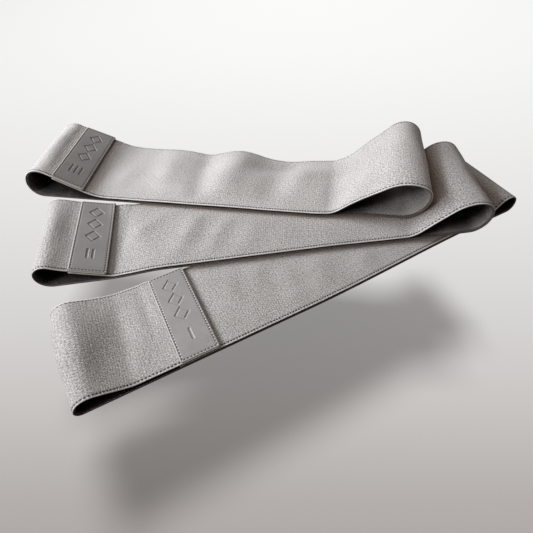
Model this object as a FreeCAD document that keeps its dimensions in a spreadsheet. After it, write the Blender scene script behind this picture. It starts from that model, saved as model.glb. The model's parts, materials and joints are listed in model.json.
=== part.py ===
import FreeCAD, Part
import Sketcher
import os
import math

# Set of three woven loop exercise bands (heavy, medium, light), laid flat and
# stacked like a fan.  Every band is one elastic strip closed to a loop by a
# lapped seam under a sewn label patch.  The strip is a laminate: face fabric
# outside, rubber threads in the middle, grip lining inside.
# Frame of the set: +X along the medium band, +Z up, origin at the middle of
# the bottom.  Each band is built in its own frame: X along the band from the
# patch end fold at x = 0, Y across it from one edge at y = 0, Z up.
# Lengths in millimetres, angles in degrees.

os.makedirs("parts", exist_ok=True)
doc = FreeCAD.newDocument("loop_bands")
Vector = FreeCAD.Vector

# ---------------------------------------------------------------- dimensions
# Alias, value or formula, note.  A depth is measured from the outer surface
# of the strip towards the inside of the loop.
SHARED_DIMS = [
    ("band_width", 80.0, "width of each band"),
    ("face_top", 0.0, "depth of the face surface"),
    ("face_thickness", 0.65, "outer woven layer"),
    ("core_start", 0.7, "depth at which the rubber threads start"),
    ("core_thickness", 0.6, "height of a rubber thread"),
    ("core_end", "=core_start + core_thickness", "depth at which the rubber threads end"),
    ("lining_start", 1.35, "depth at which the grip lining starts"),
    ("strip_thickness", 2.0, "whole laminate"),
    ("run_gap", 0.2, "air between the upper and lower run of a loop"),
    ("lap_gap", 0.05, "air between the two tabs of the lap"),
    ("thread_width", 0.9, "width of a rubber thread"),
    ("thread_inset", 4.0, "first rubber thread from the band edge"),
    ("thread_span", "=band_width - 2 * thread_inset - thread_width", "first to last thread"),
    ("thread_count", 12, "rubber threads side by side"),
    ("stitch_inset", 1.5, "edge stitch line from the band edge"),
    ("stitch_width", 0.5, "edge stitch thread"),
    ("stitch_span", "=band_width - 2 * stitch_inset - stitch_width", "first to last stitch line"),
    ("stitch_lines", 2, "edge stitch lines"),
    ("stitch_top", 0.05, "depth of the top of the edge stitch"),
    ("stitch_bottom", 0.35, "depth of the bottom of the edge stitch"),
    ("groove_width", 0.7, "sunk stitch line"),
    ("groove_inset", "=stitch_inset - (groove_width - stitch_width) / 2",
     "sunk stitch line from the band edge"),
    ("groove_top", -0.2, "depth at which the groove tool starts, above the face"),
    ("groove_depth", 0.4, "sunk stitch line"),
    ("seam_pin", 0.6, "lap seam thread"),
    ("seam_inset", 3.4, "first lap seam stitch from the band edge"),
    ("seam_span", "=band_width - 2 * seam_inset - seam_pin", "first to last lap seam stitch"),
    ("seam_count", 23, "stitches in one lap seam row"),
    ("seam_row_inset", 5.0, "lap seam row from the end of the tab"),
    ("patch_length", 28.4, "label patch along the band"),
    ("patch_width", 79.0, "label patch across the band"),
    ("patch_thickness", 0.8, "label patch leather"),
    ("patch_corner", 1.2, "label patch corner radius"),
    ("patch_lift", 0.05, "patch above the face"),
    ("patch_stitch_inset", 1.5, "patch stitch line from the patch edge"),
    ("patch_stitch_width", 0.6, "patch stitch thread"),
    ("patch_stitch_height", 0.3, "patch stitch thread"),
    ("patch_stitch_lift", 0.03, "patch stitch above the floor of its groove"),
    ("patch_groove_width", 0.8, "sunk patch stitch line"),
    ("patch_groove_inset", "=patch_stitch_inset - (patch_groove_width - patch_stitch_width) / 2",
     "sunk patch stitch line from the patch edge"),
    ("patch_groove_depth", 0.4, "sunk patch stitch line"),
    ("emboss_depth", 0.3, "pressed marks on the patch"),
    ("bar_length", 10.0, "level bar across the band"),
    ("bar_width", 1.8, "level bar along the band"),
    ("bar_pitch", 4.4, "level bar spacing"),
    ("bar_offset", -21.0, "level bars from mid width"),
    ("lozenge_outer", 6.4, "pressed lozenge, half diagonal outside"),
    ("lozenge_inner", 4.4, "pressed lozenge, half diagonal inside"),
    ("lozenge_pitch", 14.0, "pressed lozenges, spacing across the band"),
    ("lozenge_first", -2.0, "first pressed lozenge from mid width"),
    ("lozenge_count", 3, "pressed lozenges"),
]
# Name (its alias is band_name), value for each of BANDS, note
BANDS = ("heavy", "medium", "light")
BAND_DIMS = [
    ("lower_z", (8.8, 4.4, 0.0), "height of the lower run"),
    ("tab", (28.0, 28.0, 30.0), "lap length"),
    ("lead", (2.0, 1.0, 19.7), "straight after the lap; on the light band, before it"),
    ("fall_angle", (27.0, 17.0, 15.0), "slope down from the patch end fold"),
    ("fall_radius", (48.0, 21.3, 31.0), "bend from that slope to the level"),
    ("upper_run", (197.4, 256.7, 256.1), "straight upper run"),
    ("rise_radius", (40.0, 12.0, 6.0), "bend from the upper run to the rise"),
    ("rise_angle", (35.5, 60.0, 45.0), "slope of the rise to the far fold"),
    ("far_top_radius", (12.0, 17.0, 6.6), "far fold, upper part"),
    ("far_low_radius", (31.0, 17.0, 6.6), "far fold, lower part"),
    ("near_low_radius", (12.0, 11.7, 5.6), "patch end fold, lower part"),
    ("near_top_radius", (17.1, 9.2, 9.6), "patch end fold, upper part"),
    ("split", (182.0, 190.0, 190.0), "where the patch half meets the far half"),
    ("level_bars", (3, 2, 1), "level bars on the patch"),
    ("plan_x", (-213.897, -188.057, -139.442), "corner of the patch end fold in the set"),
    ("plan_y", (70.661, -38.128, -147.485), "corner of the patch end fold in the set"),
    ("heading", (-16.198, 0.0, 19.555), "direction of the band from +X"),
]

rows = list(SHARED_DIMS)
for name, values, note in BAND_DIMS:
    rows += [(band + "_" + name, value, note) for band, value in zip(BANDS, values)]
sheet = doc.addObject("Spreadsheet::Sheet", "dims")
for row, (alias, value, note) in enumerate(rows, start=1):
    sheet.set("A%d" % row, note)
    sheet.set("B%d" % row, str(value))
    sheet.setAlias("B%d" % row, alias)
doc.recompute()


def dim(alias):
    return float(sheet.get(alias))


# ------------------------------------------------------------ strip geometry
# A strip is a path of its outer surface in the band's X-Z plane, walked from
# a station (x, z, heading in radians).  The inside of the loop is on the
# right of the path.  A positive sweep turns left.

def line(length):
    return ("line", length)


def arc(radius_alias, sweep):
    return ("arc", dim(radius_alias), sweep, radius_alias)


def side_of(sweep):
    return math.copysign(1.0, sweep)


def arc_centre(station, radius, side):
    x, z, heading = station
    return (x - radius * side * math.sin(heading), z + radius * side * math.cos(heading))


def advance(station, segment):
    """Station at the end of one segment."""
    x, z, heading = station
    if segment[0] == "line":
        length = segment[1]
        return (x + length * math.cos(heading), z + length * math.sin(heading), heading)
    radius, sweep = segment[1:3]
    side = side_of(sweep)
    centre_x, centre_z = arc_centre(station, radius, side)
    heading += math.radians(sweep)
    return (centre_x + radius * side * math.sin(heading),
            centre_z - radius * side * math.cos(heading), heading)


def travel(station, path):
    """Station at the end of a whole path."""
    for segment in path:
        station = advance(station, segment)
    return station


def at_depth(station, depth):
    """Sketch point at a depth below the outer surface."""
    x, z, heading = station
    return Vector(x + depth * math.sin(heading), z - depth * math.cos(heading), 0)


def band_path(band):
    """The upper, far and lower leg of a band, each (start, path), and the end of its outer tab."""
    def size(name):
        return dim(band + "_" + name)

    def bend(name, sweep):
        return arc(band + "_" + name + "_radius", sweep)

    lower_z = size("lower_z")
    upper_z = lower_z + 2 * dim("strip_thickness") + dim("run_gap")
    lap_step = dim("strip_thickness") + dim("lap_gap")
    fall, rise = size("fall_angle"), size("rise_angle")
    fall_sin, fall_cos = math.sin(math.radians(fall)), math.cos(math.radians(fall))
    fall_radius = size("fall_radius")
    fall_drop = fall_radius * (1 - fall_cos)
    tab, lead, run = size("tab"), size("lead"), size("upper_run")
    near_fold = [bend("near_low", -90), bend("near_top", -(90 + fall))]
    far_fold = [bend("far_top", -(90 + rise)), bend("far_low", -90)]

    # The ramp has the length that brings the lower run to its height
    rise_bend = bend("rise", rise)
    unramped_z = travel((0.0, upper_z, 0.0), [rise_bend] + far_fold)[1]
    ramp = (lower_z - unramped_z) / math.sin(math.radians(rise))
    far_end = [rise_bend, line(ramp)] + far_fold

    # The lap is level on the light band and on the slope on the others
    if band == "light":
        start = (0.0, upper_z, 0.0)
        before_run = [line(tab)]
    else:
        reach = tab + lead
        start = (0.0, upper_z + fall_drop + reach * fall_sin, -math.radians(fall))
        before_run = [line(tab), line(lead), bend("fall", fall)]

    # End of the near fold if the lower run had no length; the lower run then
    # moves it back until the outer tab lies over the inner one
    fold_x, fold_z, _ = travel(start, before_run + [line(run)] + far_end + near_fold)
    if band == "light":
        slope = (fold_z - (upper_z + lap_step) - fall_drop) / fall_sin
        lower_run = fold_x + slope * fall_cos + fall_radius * fall_sin + lead
        after_fold = [line(slope), bend("fall", fall), line(lead), line(tab)]
    else:
        height = fold_z - start[1]
        lower_run = (fold_x * fall_sin + height * fall_cos - lap_step) / fall_sin
        slope = (lower_run - fold_x) * fall_cos + height * fall_sin
        after_fold = [line(slope), line(tab)]

    # Shift the band so that the crown of its near fold touches x = 0
    to_crown = before_run + [line(run)] + far_end + [line(lower_run), near_fold[0]]
    start = (start[0] - travel(start, to_crown)[0],) + start[1:]

    split = size("split")
    upper_part = split - travel(start, before_run)[0]
    far_start = (split, upper_z, 0.0)
    far = [line(run - upper_part)] + far_end
    lower_part = travel(far_start, far)[0] - split
    lower_start = (split, lower_z, math.pi)
    lower = [line(lower_run - lower_part)] + near_fold + after_fold
    return {"upper": (start, before_run + [line(upper_part)]),
            "far": (far_start, far + [line(lower_part)]),
            "lower": (lower_start, lower),
            "tab_end": travel(lower_start, lower)}


# ------------------------------------------------------------------ sketches
def origin_feature(body, role):
    return next(item for item in body.Origin.OriginFeatures if item.Role == role)


def make_sketch(body, name, role, offset=None):
    """Sketch on an origin plane, moved along its normal by an expression."""
    sketch = body.newObject("Sketcher::SketchObject", name)
    sketch.AttachmentSupport = [(origin_feature(body, role), "")]
    sketch.MapMode = "FlatFace"
    if offset:
        sketch.setExpression(".AttachmentOffset.Base.z", offset)
    return sketch


def constrain(sketch, *args):
    return sketch.addConstraint(Sketcher.Constraint(*args))


def bind(sketch, kind, geometry, value, expression):
    """Constrain one size and drive it by an expression."""
    index = constrain(sketch, kind, geometry, value)
    sketch.setExpression("Constraints[%d]" % index, expression)


def polygon(sketch, points):
    """Closed polygon; returns its sides."""
    following = points[1:] + points[:1]
    sides = [sketch.addGeometry(Part.LineSegment(a, b), False)
             for a, b in zip(points, following)]
    for i, side in enumerate(sides):
        constrain(sketch, "Coincident", side, 2, sides[(i + 1) % len(sides)], 1)
    return sides


def rectangle(sketch, x0, y0, x1, y1, length, width):
    """Closed rectangle; length (X) and width (Y) are expressions."""
    sides = polygon(sketch, [Vector(x0, y0, 0), Vector(x1, y0, 0),
                             Vector(x1, y1, 0), Vector(x0, y1, 0)])
    for kind, first in (("Horizontal", 0), ("Vertical", 1)):
        constrain(sketch, kind, sides[first])
        constrain(sketch, kind, sides[first + 2])
    bind(sketch, "Distance", sides[0], abs(x1 - x0), length)
    bind(sketch, "Distance", sides[1], abs(y1 - y0), width)


def lozenge(sketch, x, y, alias):
    """Square standing on its corner, sized by its half diagonal."""
    half = dim(alias)
    sides = polygon(sketch, [Vector(x + half, y, 0), Vector(x, y + half, 0),
                             Vector(x - half, y, 0), Vector(x, y - half, 0)])
    for a, b in zip(sides, sides[1:]):
        constrain(sketch, "Equal", a, b)
    bind(sketch, "Distance", sides[0], half * math.sqrt(2), "dims.%s * sqrt(2)" % alias)


def add_chain(sketch, station, path, depth_alias):
    """Draw a path at a depth; returns its two ends as (geometry, end number, point)."""
    depth = dim(depth_alias)
    first = last = None
    for segment in path:
        following = advance(station, segment)
        begin, end = at_depth(station, depth), at_depth(following, depth)
        begin_number, end_number = 1, 2
        if segment[0] == "line":
            geometry = sketch.addGeometry(Part.LineSegment(begin, end), False)
        else:
            _, radius, sweep, radius_alias = segment
            side = side_of(sweep)
            centre = Vector(*arc_centre(station, radius, side), 0)
            moved_radius = radius + depth * side
            angle = math.atan2(begin.y - centre.y, begin.x - centre.x)
            low, high = sorted((angle, angle + math.radians(sweep)))
            circle = Part.Circle(centre, Vector(0, 0, 1), moved_radius)
            geometry = sketch.addGeometry(Part.ArcOfCircle(circle, low, high), False)
            if side < 0:
                # A sketch arc always runs counterclockwise
                begin_number, end_number = 2, 1
            sign = "+" if side > 0 else "-"
            bind(sketch, "Radius", geometry, moved_radius,
                 "dims.%s %s dims.%s" % (radius_alias, sign, depth_alias))
        if last:
            constrain(sketch, "Coincident", last[0], last[1], geometry, begin_number)
        else:
            first = (geometry, begin_number, begin)
        last = (geometry, end_number, end)
        station = following
    return first, last


def add_ribbons(sketch, legs, top, bottom):
    """One closed ribbon for each leg, between two depths."""
    for start, path in legs:
        outer = add_chain(sketch, start, path, top)
        inner = add_chain(sketch, start, path, bottom)
        for a, b in zip(outer, inner):
            cap = sketch.addGeometry(Part.LineSegment(a[2], b[2]), False)
            constrain(sketch, "Coincident", cap, 1, a[0], a[1])
            constrain(sketch, "Coincident", cap, 2, b[0], b[1])


# ------------------------------------------------------------------ features
def new_body(label, placement):
    body = doc.addObject("PartDesign::Body", label)
    body.Label = label
    body.AllowCompound = True
    body.Placement = placement
    return body


def extrude(body, kind, name, profile, length, reverse=False):
    """Pad or Pocket of a sketch; length is an alias."""
    doc.recompute()
    feature = body.newObject("PartDesign::" + kind, name)
    feature.Profile = profile
    feature.Reversed = reverse
    feature.setExpression("Length", "dims." + length)
    body.Tip = feature
    doc.recompute()
    return feature


def repeat_across(body, name, feature, span, count):
    """Repeat a feature along Y; span and count are aliases."""
    pattern = body.newObject("PartDesign::LinearPattern", name)
    pattern.Originals = [feature]
    pattern.Direction = (origin_feature(body, "Y_Axis"), [""])
    pattern.setExpression("Length", "dims." + span)
    pattern.setExpression("Occurrences", "dims." + count)
    body.Tip = pattern
    doc.recompute()


def require_cut(body, before, least):
    if before - body.Shape.Volume < least:
        raise RuntimeError("%s: pockets cut too little" % body.Label)


# -------------------------------------------------------------------- pieces
# The normal of the XZ plane is -Y, so a negative sketch offset and a reversed
# pad both go across the band towards +Y.

# Layer, top depth, bottom depth, width across the band, inset from the band
# edge, (span, count) of its repeats across the band
LAYERS = [
    ("face_fabric", "face_top", "face_thickness", "band_width", None, None),
    ("rubber_threads", "core_start", "core_end", "thread_width", "thread_inset",
     ("thread_span", "thread_count")),
    ("grip_lining", "lining_start", "strip_thickness", "band_width", None, None),
    ("edge_stitching", "stitch_top", "stitch_bottom", "stitch_width", "stitch_inset",
     ("stitch_span", "stitch_lines")),
]


def layer_body(label, legs, placement, top, bottom, width, inset, repeats):
    """One layer of the laminate along the given legs."""
    body = new_body(label, placement)
    offset = "-dims." + inset if inset else None
    sketch = make_sketch(body, label + "_profile", "XZ_Plane", offset)
    add_ribbons(sketch, legs, top, bottom)
    pad = extrude(body, "Pad", label + "_pad", sketch, width, reverse=True)
    if repeats:
        repeat_across(body, label + "_repeat", pad, *repeats)
    return body


def sink_stitch_lines(body, legs):
    """Grooves in the face fabric for the edge stitching."""
    label = body.Label
    before = body.Shape.Volume
    sketch = make_sketch(body, label + "_groove_profile", "XZ_Plane", "-dims.groove_inset")
    add_ribbons(sketch, legs, "groove_top", "groove_depth")
    cut = extrude(body, "Pocket", label + "_groove", sketch, "groove_width")
    repeat_across(body, label + "_grooves", cut, "stitch_span", "stitch_lines")
    require_cut(body, before, least=1.0)


def seam_body(label, band, tab_end, placement):
    """Two rows of seam stitches through both tabs of the lap."""
    body = new_body(label, placement)
    sketch = make_sketch(body, label + "_profile", "XZ_Plane", "-dims.seam_inset")
    inset, pin = dim("seam_row_inset"), dim("seam_pin")
    depth = 2 * dim("strip_thickness") + dim("lap_gap")
    for back in (inset, dim(band + "_tab") - inset):
        behind = advance(tab_end, line(-back - pin / 2))
        ahead = advance(tab_end, line(-back + pin / 2))
        sides = polygon(sketch, [at_depth(behind, 0), at_depth(ahead, 0),
                                 at_depth(ahead, depth), at_depth(behind, depth)])
        bind(sketch, "Distance", sides[0], pin, "dims.seam_pin")
    pad = extrude(body, "Pad", label + "_pad", sketch, "seam_pin", reverse=True)
    repeat_across(body, label + "_repeat", pad, "seam_span", "seam_count")
    return body


def patch_frame(tab_end, placement):
    """Patch frame: origin over the tab's end at mid width, X along the tab, Z off the face."""
    base = at_depth(tab_end, -dim("patch_lift"))
    tilt = FreeCAD.Rotation(Vector(0, 1, 0), -math.degrees(tab_end[2]))
    return placement.multiply(
        FreeCAD.Placement(Vector(base.x, dim("band_width") / 2, base.y), tilt))


def patch_outline(sketch, *insets):
    """Rectangle inside the patch edge by the sum of the inset aliases."""
    length, width = dim("patch_length"), dim("patch_width")
    inset = sum(dim(alias) for alias in insets)
    less = "".join(" - 2 * dims." + alias for alias in insets)
    rectangle(sketch, inset - length, inset - width / 2, -inset, width / 2 - inset,
              "dims.patch_length" + less, "dims.patch_width" + less)


def is_upright(edge):
    start, end = edge.Vertexes[0], edge.Vertexes[-1]
    return (abs(start.Z - end.Z) > 0.1 * dim("patch_thickness")
            and abs(start.X - end.X) < 1e-6 and abs(start.Y - end.Y) < 1e-6)


def patch_body(label, frame, level_bars):
    """Leather patch with a sunk stitch line, a row of pressed lozenges, and level bars."""
    body = new_body(label, frame)
    outline = make_sketch(body, label + "_outline", "XY_Plane")
    patch_outline(outline)
    pad = extrude(body, "Pad", label + "_pad", outline, "patch_thickness")

    corners = body.newObject("PartDesign::Fillet", label + "_corners")
    corners.Base = (pad, ["Edge%d" % number for number, edge in enumerate(pad.Shape.Edges, 1)
                          if is_upright(edge)])
    corners.setExpression("Radius", "dims.patch_corner")
    body.Tip = corners
    doc.recompute()
    before = body.Shape.Volume

    top = "dims.patch_thickness"
    groove = make_sketch(body, label + "_groove_outline", "XY_Plane", top)
    patch_outline(groove, "patch_groove_inset")
    patch_outline(groove, "patch_groove_inset", "patch_groove_width")
    extrude(body, "Pocket", label + "_groove", groove, "patch_groove_depth")

    mark = make_sketch(body, label + "_mark_outline", "XY_Plane", top)
    middle = -dim("patch_length") / 2
    for i in range(int(dim("lozenge_count"))):
        y = dim("lozenge_first") + i * dim("lozenge_pitch")
        for alias in ("lozenge_outer", "lozenge_inner"):
            lozenge(mark, middle, y, alias)
    half_width, half_length = dim("bar_width") / 2, dim("bar_length") / 2
    y = dim("bar_offset")
    for i in range(level_bars):
        x = middle + (i - (level_bars - 1) / 2) * dim("bar_pitch")
        rectangle(mark, x - half_width, y - half_length, x + half_width, y + half_length,
                  "dims.bar_width", "dims.bar_length")
    extrude(body, "Pocket", label + "_mark", mark, "emboss_depth")
    require_cut(body, before, least=5.0)
    return body


def patch_stitch_body(label, frame):
    """One closed line of thread in the patch's sunk stitch line."""
    body = new_body(label, frame)
    sketch = make_sketch(
        body, label + "_outline", "XY_Plane",
        "dims.patch_thickness - dims.patch_groove_depth + dims.patch_stitch_lift")
    patch_outline(sketch, "patch_stitch_inset")
    patch_outline(sketch, "patch_stitch_inset", "patch_stitch_width")
    extrude(body, "Pad", label + "_pad", sketch, "patch_stitch_height")
    return body


def band_placement(band):
    corner = Vector(dim(band + "_plan_x"), dim(band + "_plan_y"), 0)
    return FreeCAD.Placement(corner, FreeCAD.Rotation(Vector(0, 0, 1), dim(band + "_heading")))


def band_bodies(band):
    """All pieces of one band."""
    path = band_path(band)
    tab_end = path["tab_end"]
    bodies = []
    for end, legs in (("patch_end", [path["upper"], path["lower"]]),
                      ("far_end", [path["far"]])):
        for layer, *shape in LAYERS:
            label = "%s_%s_%s" % (band, layer, end)
            body = layer_body(label, legs, band_placement(band), *shape)
            if layer == "face_fabric":
                sink_stitch_lines(body, legs)
            bodies.append(body)
    frame = patch_frame(tab_end, band_placement(band))
    bodies.append(seam_body(band + "_lap_seam", band, tab_end, band_placement(band)))
    bodies.append(patch_body(band + "_label_patch", frame, int(dim(band + "_level_bars"))))
    bodies.append(patch_stitch_body(band + "_patch_stitching", frame))
    return bodies


# --------------------------------------------------------------------- build
parts = [body for band in BANDS for body in band_bodies(band)]
doc.recompute()

problems = ["%s: %s" % (obj.Name, obj.State) for obj in doc.Objects
            if "Invalid" in obj.State or "Error" in obj.State]
problems += ["%s: bad shape" % part.Label for part in parts
             if part.Shape.isNull() or not part.Shape.isValid() or not part.Shape.Solids]
if problems:
    raise RuntimeError("; ".join(problems))
for part in parts:
    part.Shape.exportStep("parts/%s.step" % part.Label)
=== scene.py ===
import bpy
import json
import math
import numpy as np
from mathutils import Matrix, Vector


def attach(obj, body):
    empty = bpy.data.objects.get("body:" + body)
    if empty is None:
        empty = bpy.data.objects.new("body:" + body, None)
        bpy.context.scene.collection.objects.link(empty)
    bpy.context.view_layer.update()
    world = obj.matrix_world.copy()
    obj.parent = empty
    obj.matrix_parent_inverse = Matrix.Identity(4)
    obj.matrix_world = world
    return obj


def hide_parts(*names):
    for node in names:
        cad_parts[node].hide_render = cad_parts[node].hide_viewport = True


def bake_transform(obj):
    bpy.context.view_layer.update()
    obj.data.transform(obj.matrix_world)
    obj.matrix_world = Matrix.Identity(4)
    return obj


# Three woven elastic loop bands (light, medium, heavy) lying in a fan, each partly on the one
# before. A band is one strip whose two ends lap on top, under a leather patch. Lengths are
# millimetres until a mesh is made; meshes, lights and camera are in metres, in the row frame.
# A band's own frame: x from its patch end to its far end, y across it, z up.
# On the strip: s runs along it, v across it, depth goes from its outer surface into the loop.

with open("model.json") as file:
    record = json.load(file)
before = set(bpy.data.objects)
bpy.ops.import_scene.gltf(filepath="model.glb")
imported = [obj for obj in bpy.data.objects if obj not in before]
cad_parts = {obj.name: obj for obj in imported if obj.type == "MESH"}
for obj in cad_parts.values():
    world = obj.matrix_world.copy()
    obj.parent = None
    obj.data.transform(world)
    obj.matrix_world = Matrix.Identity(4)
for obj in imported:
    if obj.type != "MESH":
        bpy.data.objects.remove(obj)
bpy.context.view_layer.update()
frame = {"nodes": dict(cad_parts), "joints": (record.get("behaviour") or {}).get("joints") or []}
scene = bpy.context.scene
MM = 0.001
UV_PER_MM = 0.01

# ---------------------------------------------------------------- dimensions
T = 2.0                 # thickness of the laminate
GAP = 0.2               # between the two runs of a loop
LAP = 0.05              # between the two tabs of the lap
W = 80.0                # band width

FACE_T = 0.68           # outer woven layer
RUBBER_DEPTHS = (0.76, 1.32)
LINING_TOP = 1.40       # depth at which the inner layer starts

SEAM_INSET = 1.75       # edge seam, from the long edge
SEAM_PITCH = 2.35
SEAM_START = 1.2

PL, PW, PT = 28.4, 79.0, 0.8      # patch: along the band, across it, thick
PATCH_LIFT = 0.05                 # patch underside above the band
PATCH_SEAM_INSET = 1.5
PATCH_STITCH_PITCH = 2.55         # nominal; fitted to each side

# One entry per band, bottom of the pile first.
#  base            height of the lower run's outer surface
#  lap             "flat": the tabs are level; "slope": they lie along the slope
#  tab, lead       length of a tab, and of the straight next to it (lead is then fitted)
#  low, high       side profile at the long edges v = 0 and v = W, degrees and mm:
#    fall          radius and angle of the bend between run and tab
#    run           straight part of the upper run (then fitted)
#    rise          radius and angle of the bend up to the far fold
#    soft          radius and angle of the first bend of the far fold
#    far_radii     rest of the far fold, upper then lower
#    patch_radii   fold at the patch end, lower then upper
#    x_start       x of the patch end
#  past_cad        how far the far end goes past the CAD piece, at v = 0 and v = W
#  sway            sideways shift of the far end at v = 0 and v = W, x where it starts,
#                  length over which it grows, lean per mm of height
#  waves           height, length along s, slant, phase
#  lumps           height, s, v, half length, half width, slant
#  end_lumps       the same for the patch end, with s measured back from the strip's end
#  stretch_stop    end of the stretching part, back from the far end
#  bars            bars pressed into the patch
#   gain, contrast  brightness of the woven face, painted per band as painted light for how the
#   light falls on it, and heather contrast of the woven face
BANDS = {
    "light": dict(
        base=0.0, lap="flat", tab=30, lead=8,
        low=dict(fall=(19, 17.7), run=255, rise=(8, 42), soft=(12.0, 14),
                 far_radii=(12.0, 6.8), patch_radii=(3.8, 10.6), x_start=-0.8),
        high=dict(fall=(19, 16.6), run=266, rise=(6, 45), soft=(6.6, 14),
                  far_radii=(6.6, 6.4), patch_radii=(4.2, 11.4), x_start=-2.2),
        past_cad=(4.4, 7.6), sway=(5.0, 10.0, 170, 170, 0.0),
        waves=[(0.35, 57, 0.35, 0.4), (0.22, 33, -0.25, 2.0)],
        lumps=[(0.7, 58, 50, 8, 22, 0.3), (0.8, 84, 56, 9, 20, 0.4), (0.9, 128, 30, 11, 22, 0.3),
               (0.6, 166, 16, 9, 14, 0.2), (0.6, 100, 18, 9, 16, 0.1)],
        end_lumps=[(3.4, 90, 46, 14, 32, -0.05), (3.2, 100, 42, 34, 48, 0.0),
                   (-0.8, 60, 52, 9, 24, -0.25), (0.7, 48, 24, 7, 14, 0.15),
                   (-1.3, 35, 56, 6, 22, 0.0), (0.5, 56, 8, 8, 9, 0.2)],
        stretch_stop=45, bars=1, gain=0.84, contrast=1.15),
    "medium": dict(
        base=4.4, lap="slope", tab=28, lead=1,
        low=dict(fall=(13.7, 19.5), run=242, rise=(19, 37), soft=(28, 48),
                 far_radii=(16.0, 15.2), patch_radii=(12.2, 10.6), x_start=-0.3),
        high=dict(fall=(13.7, 15.5), run=248, rise=(14, 58), soft=(20.0, 56),
                  far_radii=(20.0, 14.0), patch_radii=(13.4, 9.8), x_start=-2.4),
        past_cad=(-0.8, 3.6), sway=(-1.2, 0.0, 225, 75, 0.04),
        waves=[(0.3, 66, -0.4, 0.0), (0.2, 37, 0.3, 1.7)],
        lumps=[(0.9, 50, 42, 9, 26, 1.0), (1.5, 95, 36, 9, 34, 0.28), (1.2, 121, 28, 8, 22, 0.3),
               (0.9, 149, 24, 10, 18, 0.2), (0.6, 178, 14, 9, 12, 0.0)],
        end_lumps=[(2.3, 45, 44, 8.5, 40, 0.03), (0.4, 42, 12, 6, 12, 0.2)],
        stretch_stop=78, bars=2, gain=0.88, contrast=1.65),
    "heavy": dict(
        base=8.8, lap="slope", tab=28, lead=2,
        low=dict(fall=(45, 28.6), run=210, rise=(18, 33), soft=(34, 55),
                 far_radii=(11.0, 23.4), patch_radii=(12.2, 17.6), x_start=-0.6),
        high=dict(fall=(54, 21.5), run=197, rise=(30, 45), soft=(16.4, 60),
                  far_radii=(16.4, 29.0), patch_radii=(8.6, 19.2), x_start=-3.6),
        past_cad=(1.6, -3.7), sway=(6.0, 2.0, 262, 52, 0.0),
        waves=[(0.35, 61, 0.3, 1.1), (0.22, 34, -0.35, 0.3)],
        lumps=[(3.6, 162, 46, 68, 38, 0.0), (2.9, 97, 42, 14, 36, -0.22),
               (-3.0, 131, 44, 11, 34, -0.12), (3.9, 157, 46, 17, 36, -0.05),
               (-3.1, 203, 42, 16, 36, 0.05), (1.2, 222, 50, 11, 26, 0.15),
               (0.8, 62, 30, 10, 20, 0.4), (0.7, 124, 14, 9, 12, -0.2)],
        end_lumps=[(1.9, 43, 46, 7.5, 36, 0.05)],
        stretch_stop=78, bars=3, gain=1.04, contrast=1.4),
}

# Sag of the heavy band along its length: x, and how far it drops.
HEAVY_SAG_X = [60, 89, 131, 154, 173, 185, 196, 216, 237, 260, 276, 290, 310]
HEAVY_SAG_Z = [0, 1.0, 2.6, 5.0, 2.6, 0.9, 1.8, 6.6, 8.0, 5.7, 3.8, 1.4, 0]


# ------------------------------------------------ side profile of a long edge
# A profile is a chain of lines and arcs; a position on it is (x, z, heading in radians).
def line(length):
    return ("line", length)


def arc(radius, sweep):
    """Sweep in degrees, positive turning upwards from +x."""
    return ("arc", radius, sweep)


def advance(position, segment):
    x, z, a = position
    if segment[0] == "line":
        return (x + segment[1] * math.cos(a), z + segment[1] * math.sin(a), a)
    radius, sweep = segment[1], math.radians(segment[2])
    r = math.copysign(radius, sweep)
    cx, cz = x - r * math.sin(a), z + r * math.cos(a)
    b = a + sweep
    return (cx + r * math.sin(b), cz - r * math.cos(b), b)


def follow(position, segments):
    for segment in segments:
        position = advance(position, segment)
    return position


def part_of(segment, t):
    """The first fraction t of a segment."""
    return line(segment[1] * t) if segment[0] == "line" else arc(segment[1], segment[2] * t)


def segment_length(segment):
    if segment[0] == "line":
        return segment[1]
    return segment[1] * abs(math.radians(segment[2]))


def sample_chain(start, segments, counts):
    points, position = [start], start
    for segment, n in zip(segments, counts):
        for k in range(1, n + 1):
            points.append(advance(position, part_of(segment, k / n)))
        position = advance(position, segment)
    return np.array(points)


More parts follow.
